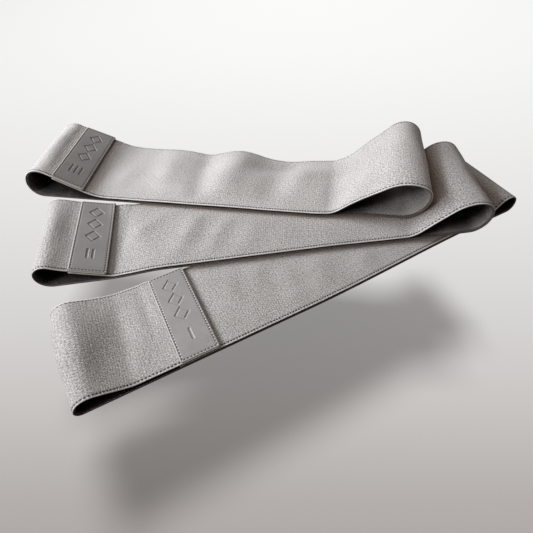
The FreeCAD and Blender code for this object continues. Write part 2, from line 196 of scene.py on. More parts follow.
def edge_chain(q):
    """Outer surface at one long edge: under tab, upper run, far fold, lower run, patch end
    fold, outer tab. Returns the start position and the segments."""
    base, tab, lead = q["base"], q["tab"], q["lead"]
    run_z = base + 2 * T + GAP
    lap_step = T + LAP
    fall_radius, fall_angle = q["fall"]
    rise_angle = q["rise"][1]
    soft_radius, soft_angle = q["soft"]
    far_upper, far_lower = q["far_radii"]
    patch_lower, patch_upper = q["patch_radii"]
    a = math.radians(fall_angle)

    fall = arc(fall_radius, fall_angle)
    rise = arc(*q["rise"])
    far_fold = [arc(soft_radius, -soft_angle),
                arc(far_upper, -(90 + rise_angle - soft_angle)), arc(far_lower, -90)]
    patch_fold = [arc(patch_lower, -90), arc(patch_upper, -(90 + fall_angle))]

    # the ramp is as long as it takes for the far fold to end at the lower run
    end_z = follow((0.0, run_z, 0.0), [rise] + far_fold)[1]
    ramp = (base - end_z) / math.sin(math.radians(rise_angle))
    if q["lap"] == "flat":
        start = (0.0, run_z, 0.0)
        under = [line(tab)]
    else:
        fall_x = -fall_radius * math.sin(a)
        fall_z = run_z + fall_radius * (1 - math.cos(a))
        reach = tab + lead
        start = (fall_x - reach * math.cos(a), fall_z + reach * math.sin(a), -a)
        under = [line(tab), line(lead), fall]
    outward = under + [line(q["run"]), rise, line(ramp)] + far_fold

    # the lower run and the slope are as long as it takes to bring one tab onto the other
    ex, ez, _ = follow(follow(start, outward), patch_fold)
    if q["lap"] == "flat":
        slope = (ez - (run_z + lap_step) - fall_radius * (1 - math.cos(a))) / math.sin(a)
        back = ex + slope * math.cos(a) + fall_radius * math.sin(a) + lead
        over = [line(slope), fall, line(lead), line(tab)]
    else:
        nx, nz = math.sin(a), math.cos(a)
        back = ((ex - start[0]) * nx + (ez - start[1]) * nz - lap_step) / nx
        slope = (start[0] - (ex - back)) * math.cos(a) - (start[1] - ez) * math.sin(a)
        over = [line(slope), line(tab)]
    return start, outward + [line(back)] + patch_fold + over


def fit_edge(shape, edge, x_max, tab_end):
    """Edge chain with run and lead adjusted to reach x_max and to end the tab at tab_end."""
    q = dict(shape, **shape[edge])
    for _ in range(6):
        start, segments = edge_chain(q)
        points = sample_chain(start, segments, [40] * len(segments))
        x0 = points[:, 0].min()
        span = points[:, 0].max() - x0
        end = points[-1, 0] - x0 + q["x_start"]
        if q["lap"] == "flat":
            q["lead"] += tab_end - end
        else:
            q["lead"] += (end - tab_end) / math.cos(math.radians(q["fall"][1]))
        q["run"] += x_max - q["x_start"] - span
    return start, segments, q["x_start"]


# ------------------------------------------------------ surface of the strip
def smooth(x):
    x = np.clip(x, 0.0, 1.0)
    return x * x * (3 - 2 * x)


def lump_height(s, v, lumps):
    total = 0 * s
    for height, s0, v0, half_length, half_width, slant in lumps:
        total = total + height * np.exp(-((s - s0 - slant * (v - v0)) / half_length) ** 2
                                        - ((v - v0) / half_width) ** 2)
    return total


def cross_ripple(s, v, height, length, width, phase):
    return height * np.sin(2 * math.pi * v / width + phase) * np.sin(2 * math.pi * s / length)


class Band:
    """One loop: its outer surface as a function of s and v."""

    def __init__(self, name, origin, heading, x_max, tab_end):
        self.name, self.origin = name, origin
        self.c, self.s = math.cos(heading), math.sin(heading)
        self.shape = shape = BANDS[name]
        self.tab = shape["tab"]
        self.above = []                    # bands lying on this one
        self.below = None                  # band from which the sag is measured
        chains = [fit_edge(shape, edge, x, tab_end) for edge, x in zip(("low", "high"), x_max)]
        counts = []
        for a, b in zip(chains[0][1], chains[1][1]):
            mean = 0.5 * (segment_length(a) + segment_length(b))
            counts.append(max(3, int(math.ceil(mean / 0.8))))
        self.edge = []
        for start, segments, x_start in chains:
            points = sample_chain(start, segments, counts)
            points[:, 0] += x_start - points[:, 0].min()
            self.edge.append(points)
        steps = [np.hypot(*np.diff(e[:, :2], axis=0).T) for e in self.edge]
        self.S = np.concatenate([[0.0], np.cumsum(0.5 * (steps[0] + steps[1]))])
        self.L = self.S[-1]

        # where the cloth may wave: s at the start of each segment, counted from the rise
        starts = self.S[np.concatenate([[0], np.cumsum(counts)])]
        if shape["lap"] == "flat":         # tab, run, rise
            rise = 2
            self.run = (starts[1] + 2, starts[rise] + 2)
        else:                              # tab, lead, fall, run, rise
            rise = 4
            self.run = (starts[2] + 4, starts[rise] + 4)
        # from the rise: ramp, three arcs of the far fold, lower run, patch end fold
        self.far_fold = (starts[rise + 1], starts[rise + 5])
        self.patch_fold = starts[rise + 6]
        self.end_lumps = [(height, self.L - back, *rest)
                          for height, back, *rest in shape["end_lumps"]]

    def local_to_row(self, p):
        x = self.origin[0] + p[..., 0] * self.c - p[..., 1] * self.s
        y = self.origin[1] + p[..., 0] * self.s + p[..., 1] * self.c
        return np.stack([x, y, p[..., 2]], -1)

    def row_to_local(self, x, y):
        dx, dy = x - self.origin[0], y - self.origin[1]
        return dx * self.c + dy * self.s, -dx * self.s + dy * self.c

    def x_far(self):
        return self.edge[0][:, 0].max()

    def outside(self, other, x, y):
        """Distance in plan from points of this band to another band's footprint."""
        p = self.local_to_row(np.stack([x, y, np.zeros_like(x)], -1))
        lx, ly = other.row_to_local(p[..., 0], p[..., 1])
        dx = np.maximum(np.maximum(-lx, lx - (other.x_far() - 6)), 0)
        dy = np.maximum(np.maximum(-ly, ly - W), 0)
        return np.hypot(dx, dy)

    def base(self, s, v):
        """x, z and heading, blended between the two edge profiles."""
        f = np.interp(s, self.S, np.arange(len(self.S)))
        i = np.clip(np.floor(f).astype(int), 0, len(self.S) - 2)
        r = (f - i)[..., None]
        low, high = (e[i] * (1 - r) + e[i + 1] * r for e in self.edge)
        t = (v / W)[..., None]
        e = low * (1 - t) + high * t
        return e[..., 0], e[..., 1], e[..., 2]

    def surf(self, s, v):
        """Point of the outer surface in the band's own frame."""
        s, v = np.broadcast_arrays(np.asarray(s, float), np.asarray(v, float))
        x, z, heading = self.base(s, v)
        t = v / W
        sway_low, sway_high, sway_x, sway_length, lean = self.shape["sway"]
        shift = sway_low * (1 - t) + sway_high * t + lean * (z - 20.0) * (1 - t)
        y = v + shift * smooth((x - sway_x) / sway_length)
        up = self.rumple(s, v, x)
        x = x - np.sin(heading) * up
        z = z + np.cos(heading) * up
        return np.stack([x, y, z - self.sag(x, v)], -1)

    def sag(self, x, v):
        """Drop of both runs together, where the band hangs free."""
        if self.name == "medium":
            t = v / W
            return 3.7 * smooth((100 - 34 * t - x) / (46 - 28 * t))
        if self.name == "heavy":
            drop = sum(np.interp(x + d, HEAVY_SAG_X, HEAVY_SAG_Z) for d in (-6, -3, 0, 3, 6)) / 5
            free = self.outside(self.below, x, v)
            return drop * smooth(free / 30) * smooth((v - 14) / 56)
        return 0 * x

    def rumple(self, s, v, x):
        """Soft waves of the cloth: upper run, far fold and patch end fold."""
        # upper run: calmer at v = 0 and under the bands above
        first, last = self.run
        on_run = smooth((s - first) / 12) * smooth((last - s) / 12)
        on_run = on_run * (0.25 + 0.75 * smooth((v - 1) / 15))
        for band in self.above:
            on_run = on_run * smooth((self.outside(band, x, v) - 1) / 14)
        run = lump_height(s, v, self.shape["lumps"])
        for height, length, slant, phase in self.shape["waves"]:
            angle = 2 * math.pi * (s + slant * v) / length + phase
            run = run + height * (0.5 + 0.5 * np.sin(angle))

        first, last = self.far_fold
        on_far = smooth((s - first) / 10) * smooth((last - s) / 10)
        far = cross_ripple(s - first, v, height=0.35, length=47, width=61, phase=0.8)

        first = self.patch_fold
        on_patch = smooth((s - first) / 8) * smooth((self.L - self.tab - 2 - s) / 7)
        patch = cross_ripple(s - first, v, height=0.2, length=31, width=53, phase=2.1)
        patch = patch + lump_height(s, v, self.end_lumps)
        return on_run * run + on_far * far + on_patch * patch

    def normal(self, s, v):
        """Outward normal, and the unit direction along the strip."""
        d = 0.4
        s0, s1 = np.maximum(s - d, 0), np.minimum(s + d, self.L)
        v0, v1 = np.maximum(v - d, 0), np.minimum(v + d, W)
        along = self.surf(s1, v) - self.surf(s0, v)
        n = np.cross(along, self.surf(s, v1) - self.surf(s, v0))
        n /= np.linalg.norm(n, axis=-1, keepdims=True) + 1e-12
        return n, along / (np.linalg.norm(along, axis=-1, keepdims=True) + 1e-12)

    def at(self, s, v, depth):
        """Point at a depth below the outer surface."""
        s, v, depth = np.broadcast_arrays(*(np.asarray(a, float) for a in (s, v, depth)))
        n, _ = self.normal(s, v)
        return self.surf(s, v) - n * depth[..., None]

    def stations(self, fine=1.0, coarse=2.4):
        """Values of s along the strip, closer where it bends."""
        def heading(s):
            return float(self.base(np.array(s), np.array(W / 2))[2])

        out = [0.0]
        s = 0.0
        while s < self.L - 1e-6:
            here = heading(s)
            bend = max(abs(heading(min(s + 3, self.L)) - here), abs(here - heading(max(s - 3, 0))))
            s += fine if bend > 0.05 else coarse
            out.append(min(s, self.L))
        return np.array(out)


def node_points(node):
    mesh = frame["nodes"][node].data
    co = np.zeros(len(mesh.vertices) * 3)
    mesh.vertices.foreach_get("co", co)
    return co.reshape(-1, 3) / MM


def place_band(name):
    """Band laid where its CAD pieces lie, along its stretch joint."""
    axis = next(j for j in frame["joints"] if j["name"] == name + "_stretch")["axis"]
    heading = math.atan2(-axis[1], -axis[0])
    c, s = math.cos(heading), math.sin(heading)
    face = np.vstack([node_points(f"{name}_face_fabric_{end}") for end in ("patch_end", "far_end")])
    lx, ly = face[:, 0] * c + face[:, 1] * s, -face[:, 0] * s + face[:, 1] * c
    x0, y0 = lx.min(), ly.min()
    span = lx.max() - x0
    patch = node_points(name + "_label_patch")
    tab_end = (patch[:, 0] * c + patch[:, 1] * s).max() - x0
    x_max = [span + extra for extra in BANDS[name]["past_cad"]]
    return Band(name, (x0 * c - y0 * s, x0 * s + y0 * c), heading, x_max, tab_end)


bands = {name: place_band(name) for name in BANDS}
bands["light"].above = [bands["medium"], bands["heavy"]]
bands["medium"].above = [bands["heavy"]]
bands["heavy"].below = bands["medium"]


# ------------------------------------------------------------- mesh builders
def make_object(name, verts_local, faces, band, mats, uvs=None, face_mat=None):
    """Object from quads; verts_local in the band's own frame, millimetres."""
    row = band.local_to_row(np.asarray(verts_local)) * MM
    me = bpy.data.meshes.new(name)
    me.vertices.add(len(row))
    me.vertices.foreach_set("co", row.astype(np.float32).ravel())
    faces = np.asarray(faces, np.int32)
    count, corners = faces.shape
    me.loops.add(count * corners)
    me.loops.foreach_set("vertex_index", faces.ravel())
    me.polygons.add(count)
    me.polygons.foreach_set("loop_start", np.arange(0, count * corners, corners, dtype=np.int32))
    if uvs is not None:
        layer = me.uv_layers.new(name="UVMap")
        layer.data.foreach_set("uv", np.asarray(uvs, np.float32)[faces.ravel()].ravel())
    for mat in mats:
        me.materials.append(mat)
    if face_mat is not None:
        me.polygons.foreach_set("material_index", np.asarray(face_mat, np.int32))
    me.polygons.foreach_set("use_smooth", np.full(count, True))
    me.update(calc_edges=True)
    me.validate()
    ob = bpy.data.objects.new(name, me)
    scene.collection.objects.link(ob)
    return ob


def sheet_faces(n, m):
    """Closed sheet of two n x m point grids, one after the other: both sides, four walls."""
    i, j = np.meshgrid(np.arange(n - 1), np.arange(m - 1), indexing="ij")
    a = i * m + j
    grid = np.stack([a, a + m, a + m + 1, a + 1], -1).reshape(-1, 4)
    off = n * m
    i, j = np.arange(n - 1) * m, np.arange(m - 1)
    k = i + m - 1
    e = (n - 1) * m + j
    walls = [(i, i + off, i + m + off, i + m), (k, k + m, k + m + off, k + off),
             (j, j + 1, j + 1 + off, j + off), (e, e + off, e + 1 + off, e + 1)]
    return np.vstack([grid[:, ::-1], grid + off] + [np.stack(w, -1)[:, ::-1] for w in walls])


def slab(band, s, first, second, name, mat):
    """Closed sheet swept along s. first, second: its two sides as equal lists of (v, depth)."""
    v1, d1 = np.array(first).T
    v2, d2 = np.array(second).T
    S, V1 = np.meshgrid(s, v1, indexing="ij")
    V2 = np.broadcast_to(v2, S.shape)
    verts = np.vstack([band.at(S, V1, d1).reshape(-1, 3), band.at(S, V2, d2).reshape(-1, 3)])
    wrap = np.broadcast_to(v1 + np.where(v1 < W / 2, -d1, d1), S.shape)   # round the edge
    uv = np.vstack([np.stack([S.ravel(), V.ravel()], -1) for V in (wrap, V2)]) * UV_PER_MM
    return make_object(name, verts, sheet_faces(len(s), len(v1)), band, [mat], uv)


def full_width(edge, middle, depth):
    """Section across the band: an edge, the flat middle, the mirrored edge."""
    return edge + [(v, depth) for v in middle] + [(W - v, d) for v, d in reversed(edge)]


def capsules(centre, along, side, out, length, radius, flat):
    """Many small thread stitches; centre and the three axes are (N, 3) each."""
    around = 6
    angles = np.arange(around) * 2 * math.pi / around
    stations = np.linspace(-1, 1, 7)
    points = []
    for t in stations:
        r = max(radius * math.sqrt(max(0.0, 1 - abs(t) ** 3)), 0.02)
        for g in angles:
            points.append(centre + along * (t * length / 2) + side * (math.cos(g) * r)
                          + out * (math.sin(g) * r * flat))
    verts = np.stack(points, 1)
    quads = []
    for i in range(len(stations) - 1):
        for j in range(around):
            q = (j + 1) % around
            quads.append((i * around + j, i * around + q, (i + 1) * around + q,
                          (i + 1) * around + j))
    quads += [(0, 3, 2, 1), (0, 5, 4, 3)]                       # end discs
    o = (len(stations) - 1) * around
    quads += [(o + 1, o + 2, o + 3, o), (o + 3, o + 4, o + 5, o)]
    first = np.arange(len(verts)) * len(points)
    faces = (np.array(quads)[None] + first[:, None, None]).reshape(-1, 4)
    return verts.reshape(-1, 3), faces[:, ::-1]


def stitch_line(band, s, v, *, depth, length, radius, flat, across=False):
    n, along = band.normal(s, v)
    side = np.cross(n, along)
    centre = band.surf(s, v) - n * depth
    if across:
        along, side = side, along
    return capsules(centre, along, side, n, length, radius, flat)


def merge(parts):
    verts, faces, offset = [], [], 0
    for v, f in parts:
        verts.append(v)
        faces.append(f + offset)
        offset += len(v)
    return np.vstack(verts), np.vstack(faces)


# ----------------------------------------------------------------- materials
class Graph:
    """Short calls for building a node tree; values may be sockets, numbers or colours."""

    def __init__(self, tree):
        self.tree = tree
        tree.nodes.clear()

    def node(self, kind, **settings):
        n = self.tree.nodes.new(kind)
        for key, value in settings.items():
            if key in n.inputs:
                n.inputs[key].default_value = value
            else:
                setattr(n, key, value)
        return n

    def link(self, a, b):
        self.tree.links.new(a, b)

    def put(self, value, socket):
        if isinstance(value, (int, float)):
            socket.default_value = value
        elif isinstance(value, tuple):
            socket.default_value = value + (1.0,)
        else:
            self.link(value, socket)

    def math(self, operation, *values, clamp=False):
        n = self.node("ShaderNodeMath", operation=operation, use_clamp=clamp)
        for value, socket in zip(values, n.inputs):
            self.put(value, socket)
        return n.outputs[0]

    def add(self, a, b, clamp=False):
        return self.math("ADD", a, b, clamp=clamp)

    def sub(self, a, b, clamp=False):
        return self.math("SUBTRACT", a, b, clamp=clamp)

    def mul(self, a, b):
        return self.math("MULTIPLY", a, b)

    def div(self, a, b, clamp=False):
        return self.math("DIVIDE", a, b, clamp=clamp)

    def centred(self, value, amount):
        """Swing of a 0-1 value about its middle."""
        return self.mul(self.sub(value, 0.5), amount)

    def mix(self, factor, a, b, kind="MIX"):
        n = self.node("ShaderNodeMix", data_type="RGBA", blend_type=kind)
        for value, index in ((factor, 0), (a, 6), (b, 7)):
            self.put(value, n.inputs[index])
        return n.outputs[2]

    def ramp(self, factor, stops):
        n = self.node("ShaderNodeValToRGB")
        self.link(factor, n.inputs[0])
        elements = n.color_ramp.elements
        while len(elements) > 1:
            elements.remove(elements[-1])
        elements[0].position, elements[0].color = stops[0][0], stops[0][1] + (1.0,)
        for position, colour in stops[1:]:
            elements.new(position).color = colour + (1.0,)
        return n.outputs[0]

    def noise(self, vector, scale, detail=2.0, rough=0.5):
        n = self.node("ShaderNodeTexNoise", Scale=scale, Detail=detail, Roughness=rough)
        self.link(vector, n.inputs["Vector"])
        return n.outputs[0]


class Surface(Graph):
    """A material with one principled shader."""

    def __init__(self, name):
        self.mat = bpy.data.materials.new(name)
        self.mat.use_nodes = True
        super().__init__(self.mat.node_tree)
        out = self.node("ShaderNodeOutputMaterial")
        self.bsdf = self.node("ShaderNodeBsdfPrincipled")
        self.link(self.bsdf.outputs[0], out.inputs[0])

    def uv_mm(self, along=1.0, across=1.0, turn=0.0):
        """UV in millimetres, scaled and turned."""
        coord = self.node("ShaderNodeTexCoord")
        mapping = self.node("ShaderNodeMapping", Rotation=(0, 0, turn),
                            Scale=(along / UV_PER_MM, across / UV_PER_MM, 1.0))
        self.link(coord.outputs["UV"], mapping.inputs[0])
        return mapping.outputs[0]

    def object_coords(self):
        return self.node("ShaderNodeTexCoord").outputs["Object"]

    def split(self, vector):
        n = self.node("ShaderNodeSeparateXYZ")
        self.link(vector, n.inputs[0])
        return n.outputs[0], n.outputs[1]

    def bump(self, height, strength, distance):
        n = self.node("ShaderNodeBump", Strength=strength, Distance=distance)
        self.link(height, n.inputs["Height"])
        self.link(n.outputs[0], self.bsdf.inputs["Normal"])

    def finish(self, colour, values):
        """Link the colour, set the other shader inputs, return the material."""
        self.link(colour, self.bsdf.inputs["Base Color"])
        for key, value in values.items():
            self.bsdf.inputs[key].default_value = value
        return self.mat


def scaled(colour, factor):
    return tuple(factor * c for c in colour)


def edge_inset(k, v):
    """Distance from the nearer long edge; below zero on the wall of the strip."""
    return k.math("MINIMUM", v, k.sub(W, v))


def woven_edge(k, col, u, v, dark):
    """Painted highlight on the rolled edge, painted shade on its wall, and cloth drawn in and
    darker beside each edge stitch: needle hole and painted thread shadow.
    """
    inset = edge_inset(k, v)
    painted_rim_highlight = k.sub(1.0, k.div(k.sub(inset, 0.3), 0.5), clamp=True)
    off = k.math("ABSOLUTE", k.sub(inset, SEAM_INSET))
    near = k.sub(1.25, k.div(off, 0.75), clamp=True)
    beat = k.math("COSINE", k.mul(k.sub(u, SEAM_START), 2 * math.pi / SEAM_PITCH))
    painted_stitch_shade = k.add(k.mul(beat, 1.1), 0.55, clamp=True)
    # painted thread shadow beside the stitches, weaker on the far edge
    side = k.add(0.22, k.mul(k.math("LESS_THAN", v, W / 2), 0.78))   # weaker at v = W
    near = k.mul(near, side)
    # painted shade on the wall of the strip; the rolled edge above it gets the painted highlight
    wall = k.div(k.sub(-0.40, inset), 0.25, clamp=True)
    col = k.mix(k.mul(painted_rim_highlight, 0.8), col, (0.80, 0.79, 0.78))
    col = k.mix(k.mul(wall, 0.86), col, (0.034, 0.027, 0.023))
    return k.mix(k.mul(near, k.add(0.12, k.mul(painted_stitch_shade, 0.80))), col, scaled(dark, 0.18))


def lining_edge(k, col, u, v, dark):
    """Painted shade: near-black wall of the strip, for the dark gap between the layers."""
    wall = k.div(k.sub(-0.82, edge_inset(k, v)), 0.1, clamp=True)
    return k.mix(k.mul(wall, 0.9), col, (0.02, 0.016, 0.013))


def fabric_material(name, colours, edge, *, gain, contrast, sheen, reach, hollow, painted_shade):
    """Heathered fine weave that follows the strip. colours: dark, mid, light, scaled by
    gain as painted light. Hollows are looked for within reach mm, between the
    two occlusion levels, and darkened towards painted_shade as painted shade."""
    k = Surface(name)
    dark, mid, light = (scaled(c, gain) for c in colours)
    mm = k.uv_mm()
    # short fibres along the band, flecks, broad patches, faint lengthwise lines
    fibre = k.noise(k.uv_mm(along=0.62), scale=1.05, detail=4.0, rough=0.72)
    fleck = k.noise(k.uv_mm(along=0.8, across=0.8, turn=0.5), scale=1.65, detail=3.0, rough=0.70)
    patch = k.noise(mm, scale=0.045, detail=3.0, rough=0.55)
    streak = k.noise(k.uv_mm(along=0.02, across=0.9), scale=1.1)
    u, v = k.split(mm)
    # fine twill: diagonal ribs crossed by the picks
    drift = k.mul(k.noise(mm, scale=0.35), 1.6)
    diagonal = k.add(k.mul(k.add(u, drift), 0.62), v)
    ribs = k.math("SINE", k.mul(diagonal, 2 * math.pi / 2.2))
    picks = k.math("SINE", k.mul(k.add(u, drift), 2 * math.pi / 1.85))
    weave = k.add(k.mul(ribs, 0.5), k.mul(picks, 0.5))
    tone = k.add(k.centred(fibre, 2.7 * contrast), k.centred(fleck, 2.0 * contrast))
    tone = k.add(tone, k.centred(patch, 0.35))
    tone = k.add(tone, k.centred(streak, 0.30))
    tone = k.add(tone, k.mul(weave, 0.12 * contrast))
    tone = k.add(tone, 0.5, clamp=True)
    col = k.ramp(tone, [(0.0, dark), (0.5, mid), (1.0, light)])
    col = edge(k, col, u, v, dark)
    # painted shade: hollows found by occlusion are darkened towards the shade colour
    ao = k.node("ShaderNodeAmbientOcclusion", Distance=reach * MM, samples=8)
    closed, opened = hollow
    open_sky = k.div(k.sub(ao.outputs["AO"], closed), opened - closed, clamp=True)
    col = k.mix(open_sky, k.mix(1.0, col, scaled(painted_shade, 1 / 0.30), "MULTIPLY"), col)
    height = k.add(k.mul(weave, 0.20), k.mul(fibre, 1.3))
    k.bump(k.add(height, k.mul(fleck, 0.9)), strength=0.8, distance=0.00042)
    return k.finish(col, {"Roughness": 0.93, "Specular IOR Level": 0.22, "Sheen Weight": sheen,
                          "Sheen Roughness": 0.45, "Sheen Tint": (0.93, 0.96, 1.0, 1)})


def thread_material(name, dark, light):
    """Twisted sewing thread."""
    k = Surface(name)
    coords = k.object_coords()
    n = k.noise(coords, scale=900.0)
    twist = k.node("ShaderNodeTexWave", Scale=420.0, Distortion=1.5, bands_direction="DIAGONAL")
    k.link(coords, twist.inputs["Vector"])
    f = k.add(k.mul(n, 0.6), k.mul(twist.outputs[1], 0.4))
    col = k.ramp(f, [(0.2, dark), (0.8, light)])
    k.bump(twist.outputs[1], strength=0.5, distance=0.0001)
    return k.finish(col, {"Roughness": 0.7, "Specular IOR Level": 0.2, "Sheen Weight": 0.03})


def sewn_leather(k, col):
    """Dark stitch mark, thread colour and painted shade, where each patch stitch pulls the leather
    down; painted highlight on the leather between the stitches.
    """
    a, b = k.split(k.uv_mm())
    lines = []
    for across, along, width, length in ((a, b, PL, PW), (b, a, PW, PL)):
        inset = k.math("MINIMUM", across, k.sub(width, across))
        off = k.math("ABSOLUTE", k.sub(inset, PATCH_SEAM_INSET))
        near = k.sub(1.3, k.div(off, 0.52), clamp=True)
        run = length - 2 * PATCH_SEAM_INSET
        pitch = run / round(run / PATCH_STITCH_PITCH)
        phase = k.sub(along, PATCH_SEAM_INSET + pitch / 2)
        beat = k.math("COSINE", k.mul(phase, 2 * math.pi / pitch))
        to_end = k.math("MINIMUM", along, k.sub(length, along))
        inside = k.math("GREATER_THAN", to_end, PATCH_SEAM_INSET - 0.3)
        lines.append((k.mul(near, inside), beat))
    for near, beat in lines:
        painted_stitch_shade = k.add(k.mul(beat, 1.2), 0.5, clamp=True)
        painted_highlight = k.sub(k.mul(beat, -1.6), 0.7, clamp=True)
        col = k.mix(k.mul(near, k.mul(painted_stitch_shade, 0.88)), col, (0.018, 0.014, 0.012))
        col = k.mix(k.mul(near, k.mul(painted_highlight, 0.6)), col, (0.56, 0.54, 0.52))
    return col


def leather_material(name, dark, light, rough=0.44, sewn=False):
    k = Surface(name)
    coords = k.object_coords()
    grain = k.node("ShaderNodeTexVoronoi", Scale=1150.0, feature="DISTANCE_TO_EDGE")
    k.link(coords, grain.inputs["Vector"])
    fine = k.noise(coords, scale=1700.0)
    cloud = k.noise(coords, scale=62.0, detail=3.0)
    pores = k.math("MINIMUM", k.mul(grain.outputs["Distance"], 5.0), 1.0)
    f = k.add(k.mul(cloud, 0.75), k.mul(fine, 0.25))
    col = k.ramp(f, [(0.3, dark), (0.7, light)])
    col = k.mix(k.mul(k.sub(1.0, pores), 0.18), col, scaled(dark, 0.6))
    if sewn:
        col = sewn_leather(k, col)
    k.bump(k.add(k.mul(pores, 0.6), k.mul(fine, 0.4)), strength=0.28, distance=0.00012)
    k.link(k.add(rough - 0.06, k.mul(cloud, 0.14)), k.bsdf.inputs["Roughness"])
    return k.finish(col, {"Specular IOR Level": 0.45, "Coat Weight": 0.08, "Coat Roughness": 0.4})


def rubber_material(name):
    k = Surface(name)
    n = k.noise(k.object_coords(), scale=700.0, detail=3.0)
    col = k.ramp(n, [(0.3, (0.045, 0.042, 0.04)), (0.75, (0.09, 0.085, 0.08))])
    k.bump(n, strength=0.4, distance=0.0001)
    return k.finish(col, {"Roughness": 0.62})


# Painted light: one fabric for all three bands, painted lighter or darker per band by gain;
# painted_shade is the warm painted shade in its hollows.
FABRIC = {
    name: fabric_material(
        "band_fabric_" + name,
        [(0.200, 0.183, 0.172), (0.385, 0.368, 0.356), (0.600, 0.588, 0.580)], woven_edge,
        gain=BANDS[name]["gain"], contrast=BANDS[name]["contrast"], sheen=0.35,
        reach=30.0, hollow=(0.26, 0.82), painted_shade=(0.160, 0.105, 0.072))
    for name in ("heavy", "medium", "light")}
# Lining: painted light raises its colours 2.8 times where it is open, and painted shade takes it to
# near black deep in the loops.
LINING = fabric_material(
    "lining_fabric",
    [(0.090, 0.083, 0.079), (0.175, 0.165, 0.160), (0.290, 0.280, 0.275)], lining_edge,
    gain=2.8, contrast=1.0, sheen=0.1,
    reach=34.0, hollow=(0.53, 0.74), painted_shade=(0.004, 0.0028, 0.0018))
# One sewing thread in two copies: near black on the v = 0 edge, painted darker for the shade in its
# pits, and paler on the v = W edge, painted lighter as lit.
THREAD = thread_material("edge_thread", dark=(0.020, 0.018, 0.017), light=(0.048, 0.044, 0.042))
THREAD_PAINTED_LIT = thread_material("edge_thread_painted_lit", dark=(0.085, 0.079, 0.075),
                              light=(0.160, 0.150, 0.144))
PATCH_THREAD = thread_material("patch_thread", dark=(0.018, 0.016, 0.015),
                               light=(0.045, 0.041, 0.039))
LEATHER = leather_material("patch_leather", dark=(0.190, 0.180, 0.176),
                           light=(0.245, 0.235, 0.230), sewn=True)
LEATHER_EDGE = leather_material("patch_cut_edge", dark=(0.36, 0.325, 0.30),
                                light=(0.50, 0.47, 0.45), rough=0.8)
RUBBER = rubber_material("rubber_thread")

# --------------------------------------------------------------- band layers
# Sections at the v = 0 edge, as (v, depth): the face rolls round the edge and has a groove
# along the seam.
FACE_OUTER = [(0.42, 1.30), (0.16, 1.12), (0.02, 0.82), (0.0, 0.50), (0.10, 0.22),
              (0.34, 0.05), (0.72, 0.0), (1.12, 0.02), (1.42, 0.12), (1.75, 0.20),
              (2.08, 0.12), (2.40, 0.02), (3.0, 0.0)]
FACE_INNER = [(0.62, 1.32), (0.66, 1.16), (0.70, 0.98), (0.76, 0.86), (0.84, 0.78),
              (0.96, 0.72), (1.10, 0.69), (1.30, 0.68), (1.50, 0.68), (1.78, 0.68),
              (2.10, 0.68), (2.42, 0.68), (3.0, 0.68)]
LINING_OUTER = [(0.62, 1.55), (0.78, 1.44), (1.2, 1.40)]
LINING_INNER = [(0.62, 1.85), (0.78, 1.96), (1.2, 2.0)]


def build_face(b):
    middle = np.arange(5.0, 75.1, 2.0)
    return slab(b, b.stations(), full_width(FACE_OUTER, middle, 0.0),
                full_width(FACE_INNER, middle, FACE_T), b.name + "_woven_face", FABRIC[b.name])


def build_lining(b):
    middle = np.arange(4.0, 76.1, 3.0)
    return slab(b, b.stations(1.4, 3.2), full_width(LINING_INNER, middle, T),
                full_width(LINING_OUTER, middle, LINING_TOP), b.name + "_knit_lining", LINING)


def build_rubber(b):
    """Twelve square elastic threads between face and lining."""
    count, first_v, spread, width = 12, 4.0, 71.1, 0.9
    top, bottom = RUBBER_DEPTHS
    s = b.stations(2.0, 5.0)
    i = np.arange(len(s) - 1) * 4
    e = (len(s) - 1) * 4
    faces = [np.stack([i + j, i + 4 + j, i + 4 + q, i + q], -1)[:, ::-1]
             for j, q in ((0, 1), (1, 2), (2, 3), (3, 0))]
    faces = np.vstack(faces + [[[3, 2, 1, 0]], [[e + 1, e + 2, e + 3, e]]])
    parts = []
    for k in range(count):
        v = first_v + spread * k / (count - 1)
        ring = [(v, top), (v + width, top), (v + width, bottom), (v, bottom)]
        parts.append((np.stack([b.at(s, *corner) for corner in ring], 1).reshape(-1, 3), faces))
    return make_object(b.name + "_elastic_threads", *merge(parts), b, [RUBBER])


def build_edge_seam(b):
    """Stitches along both long edges, outside and inside."""
    s = np.arange(SEAM_START, b.L - 1.0, SEAM_PITCH)
    parts, face_mat = [], []
    # v, depth, radius, material slot
    # slot 1 on the far edge is the same thread, painted paler as lit
    for v, depth, radius, slot in ((SEAM_INSET, 0.06, 0.40, 0), (W - SEAM_INSET, 0.12, 0.30, 1)):
        line_v = np.full_like(s, v)
        outer = stitch_line(b, s, line_v, depth=depth, length=1.45, radius=radius, flat=0.55)
        inner = stitch_line(b, s + 0.5 * SEAM_PITCH - 0.6, line_v,
                            depth=1.95, length=1.5, radius=0.24, flat=0.45)
        parts += [outer, inner]
        face_mat += [slot] * (len(outer[1]) + len(inner[1]))
    return make_object(b.name + "_edge_seam", *merge(parts), b, [THREAD, THREAD_PAINTED_LIT],
                       face_mat=face_mat)


def build_lap_seam(b):
    """Two rows of stitches across the band, through both tabs."""
    row_inset, count, first_v, spread, radius = 5.0, 23, 3.7, 72.6, 0.24
    lap_t = 2 * T + LAP
    v = first_v + spread * np.arange(count) / (count - 1)
    parts = []
    for back in (row_inset, b.tab - row_inset):
        s = np.full_like(v, b.L - back)
        for depth in (0.12, lap_t - 0.10):
            parts.append(stitch_line(b, s, v, depth=depth, length=2.2, radius=0.26, flat=0.6,
                                     across=True))
        n, along = b.normal(s, v)
        centre = b.surf(s, v) - n * (lap_t / 2)
        parts.append(capsules(centre, n, along, np.cross(n, along), lap_t - 0.3, radius, 1.0))
    return make_object(b.name + "_lap_stitches", *merge(parts), b, [THREAD])


